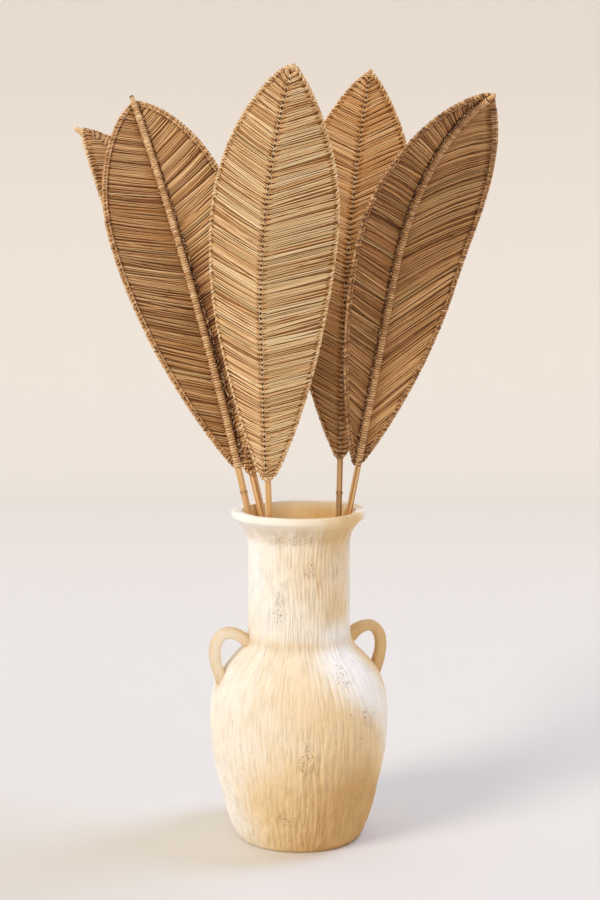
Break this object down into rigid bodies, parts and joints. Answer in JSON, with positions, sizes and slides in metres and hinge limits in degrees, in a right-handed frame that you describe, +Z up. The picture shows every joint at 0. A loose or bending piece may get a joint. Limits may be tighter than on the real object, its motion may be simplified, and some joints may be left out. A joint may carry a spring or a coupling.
{
  "type": "vase of dried woven straw leaves",
  "caption": "Tall ceramic vase with ear handles, holding large leaf-shaped panels of woven dried straw that stand in it on their canes.",
  "frame": {"origin": "centre of the vase's flat underside", "axes": "+Z up, the front of the arrangement towards -Y, +X to the right seen from the front"},
  "size_m": [0.5639, 0.4029, 1.0432],
  "materials": {
    "vase_ceramic": "matte, combed and pitted",
    "leaf_1_cane": "smooth dried cane",
    "leaf_1_bound_straw": "dried straw wound in rings",
    "leaf_1_woven_straw": "dried straw strands side by side",
    "leaf_1_hem": "bent rod bound with dried straw",
    "leaf_2_cane": "smooth dried cane",
    "leaf_2_bound_straw": "dried straw wound in rings",
    "leaf_2_woven_straw": "dried straw strands side by side",
    "leaf_2_hem": "bent rod bound with dried straw",
    "leaf_3_cane": "smooth dried cane",
    "leaf_3_bound_straw": "dried straw wound in rings",
    "leaf_3_woven_straw": "dried straw strands side by side",
    "leaf_3_hem": "bent rod bound with dried straw",
    "leaf_4_cane": "smooth dried cane",
    "leaf_4_bound_straw": "dried straw wound in rings",
    "leaf_4_woven_straw": "dried straw strands side by side",
    "leaf_4_hem": "bent rod bound with dried straw",
    "leaf_5_cane": "smooth dried cane",
    "leaf_5_bound_straw": "dried straw wound in rings",
    "leaf_5_woven_straw": "dried straw strands side by side",
    "leaf_5_hem": "bent rod bound with dried straw"
  },
  "bodies": {
    "root": {"vase": "vase_ceramic", "leaf_1_stem": "leaf_1_cane", "leaf_1_binding": "leaf_1_bound_straw", "leaf_1_blade": "leaf_1_woven_straw", "leaf_1_hoop": "leaf_1_hem", "leaf_2_stem": "leaf_2_cane", "leaf_2_binding": "leaf_2_bound_straw", "leaf_2_blade": "leaf_2_woven_straw", "leaf_2_hoop": "leaf_2_hem", "leaf_3_stem": "leaf_3_cane", "leaf_3_binding": "leaf_3_bound_straw", "leaf_3_blade": "leaf_3_woven_straw", "leaf_3_hoop": "leaf_3_hem", "leaf_4_stem": "leaf_4_cane", "leaf_4_binding": "leaf_4_bound_straw", "leaf_4_blade": "leaf_4_woven_straw", "leaf_4_hoop": "leaf_4_hem", "leaf_5_stem": "leaf_5_cane", "leaf_5_binding": "leaf_5_bound_straw", "leaf_5_blade": "leaf_5_woven_straw", "leaf_5_hoop": "leaf_5_hem"}
  },
  "joints": []
}
